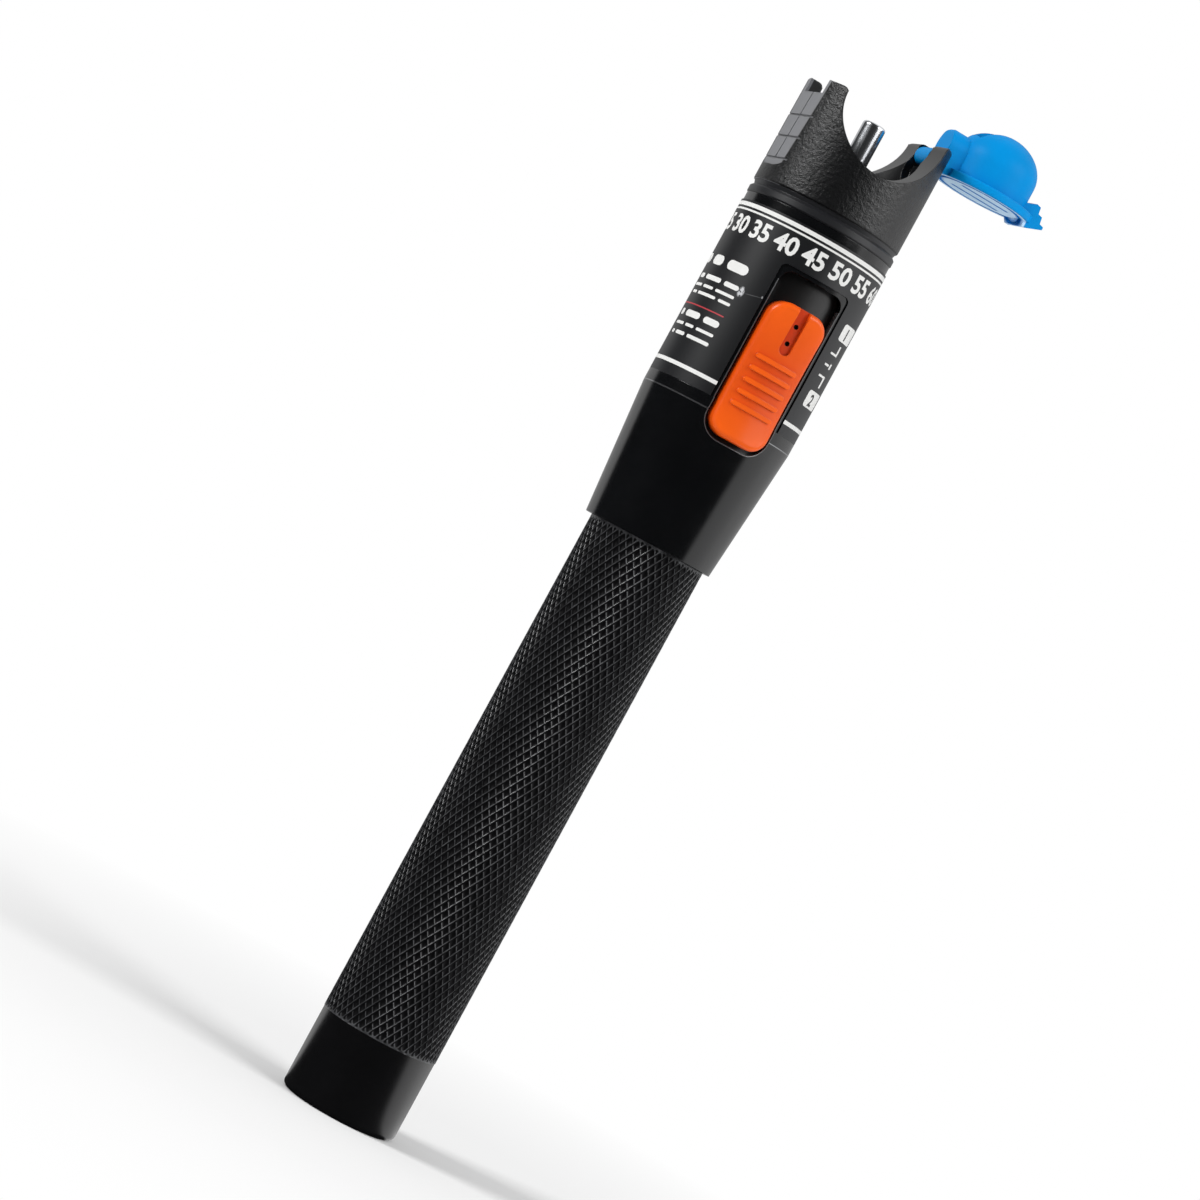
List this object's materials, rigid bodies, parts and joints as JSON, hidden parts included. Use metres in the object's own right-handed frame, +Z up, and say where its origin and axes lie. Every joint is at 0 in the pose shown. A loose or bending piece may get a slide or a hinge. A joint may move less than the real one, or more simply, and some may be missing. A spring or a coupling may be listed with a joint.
{
  "type": "visual fault locator",
  "caption": "Pen-shaped fibre fault locator: knurled battery barrel, flared housing with a slide button, crown round the port and a hinged dust cap.",
  "frame": {"origin": "centre of the flat tail face", "axes": "+Z up the barrel to the port, +X towards the cap hinge, -X the thumb pad, -Y the slide button"},
  "size_m": [0.0457, 0.0278, 0.1911],
  "materials": {
    "black_anodised": "black anodised",
    "nitrile": "matt",
    "spring_steel": "bright",
    "cell_jacket": "gloss",
    "label_foil": "satin",
    "crown_abs": "leather grain",
    "carrier_abs": "gloss",
    "blue_cap": "gloss",
    "orange_button": "satin",
    "bright_chrome": "polished",
    "zirconia": "polished",
    "brass": "turned",
    "lens_glass": "polished",
    "board_green": "solder mask",
    "bright_steel": "bright"
  },
  "bodies": {
    "battery_barrel": {"battery_tube": "black_anodised", "tube_o_ring": "nitrile", "tail_spring": "spring_steel"},
    "cells": {"battery_lower": "cell_jacket", "battery_upper": "cell_jacket"},
    "slide_button": {"switch_button": "orange_button", "switch_lever": "carrier_abs"},
    "cap": {"cap": "blue_cap"},
    "head": {"body_housing": "black_anodised", "label_wrap": "label_foil", "collar_ring": "black_anodised", "carrier_back": "carrier_abs", "carrier_front": "carrier_abs", "carrier_screws": "bright_steel", "circuit_board": "board_green", "slide_switch_body": "carrier_abs", "battery_contact": "brass", "head_crown": "crown_abs", "cap_hinge_pin": "bright_steel", "ferrule_sleeve": "bright_chrome", "ceramic_sleeve": "zirconia", "laser_barrel": "brass", "collimating_lens": "lens_glass", "lens_ring": "brass", "laser_diode": "bright_steel", "module_nut": "brass"}
  },
  "joints": [
    {"name": "cells_rise", "type": "slide", "parent": "battery_barrel", "child": "cells", "axis": [0, 0, 1], "range_m": [0, 0.005], "deforming": ["tail_spring"]},
    {"name": "housing_unscrew", "type": "hinge", "parent": "cells", "child": "head", "pos_m": [0, 0, 0.11], "axis": [0, 0, 1], "range_deg": [0, 1800]},
    {"name": "button_slide", "type": "slide", "parent": "head", "child": "slide_button", "axis": [0, 0, 1], "range_m": [0, 0.0042]},
    {"name": "cap_hinge", "type": "hinge", "parent": "head", "child": "cap", "pos_m": [0.0109, 0, 0.1818], "axis": [0, -1, 0], "range_deg": [0, 180]}
  ],
  "couplings": [
    {"joint": "housing_unscrew", "follows": "cells_rise", "rad_per_m": 6283.2}
  ]
}
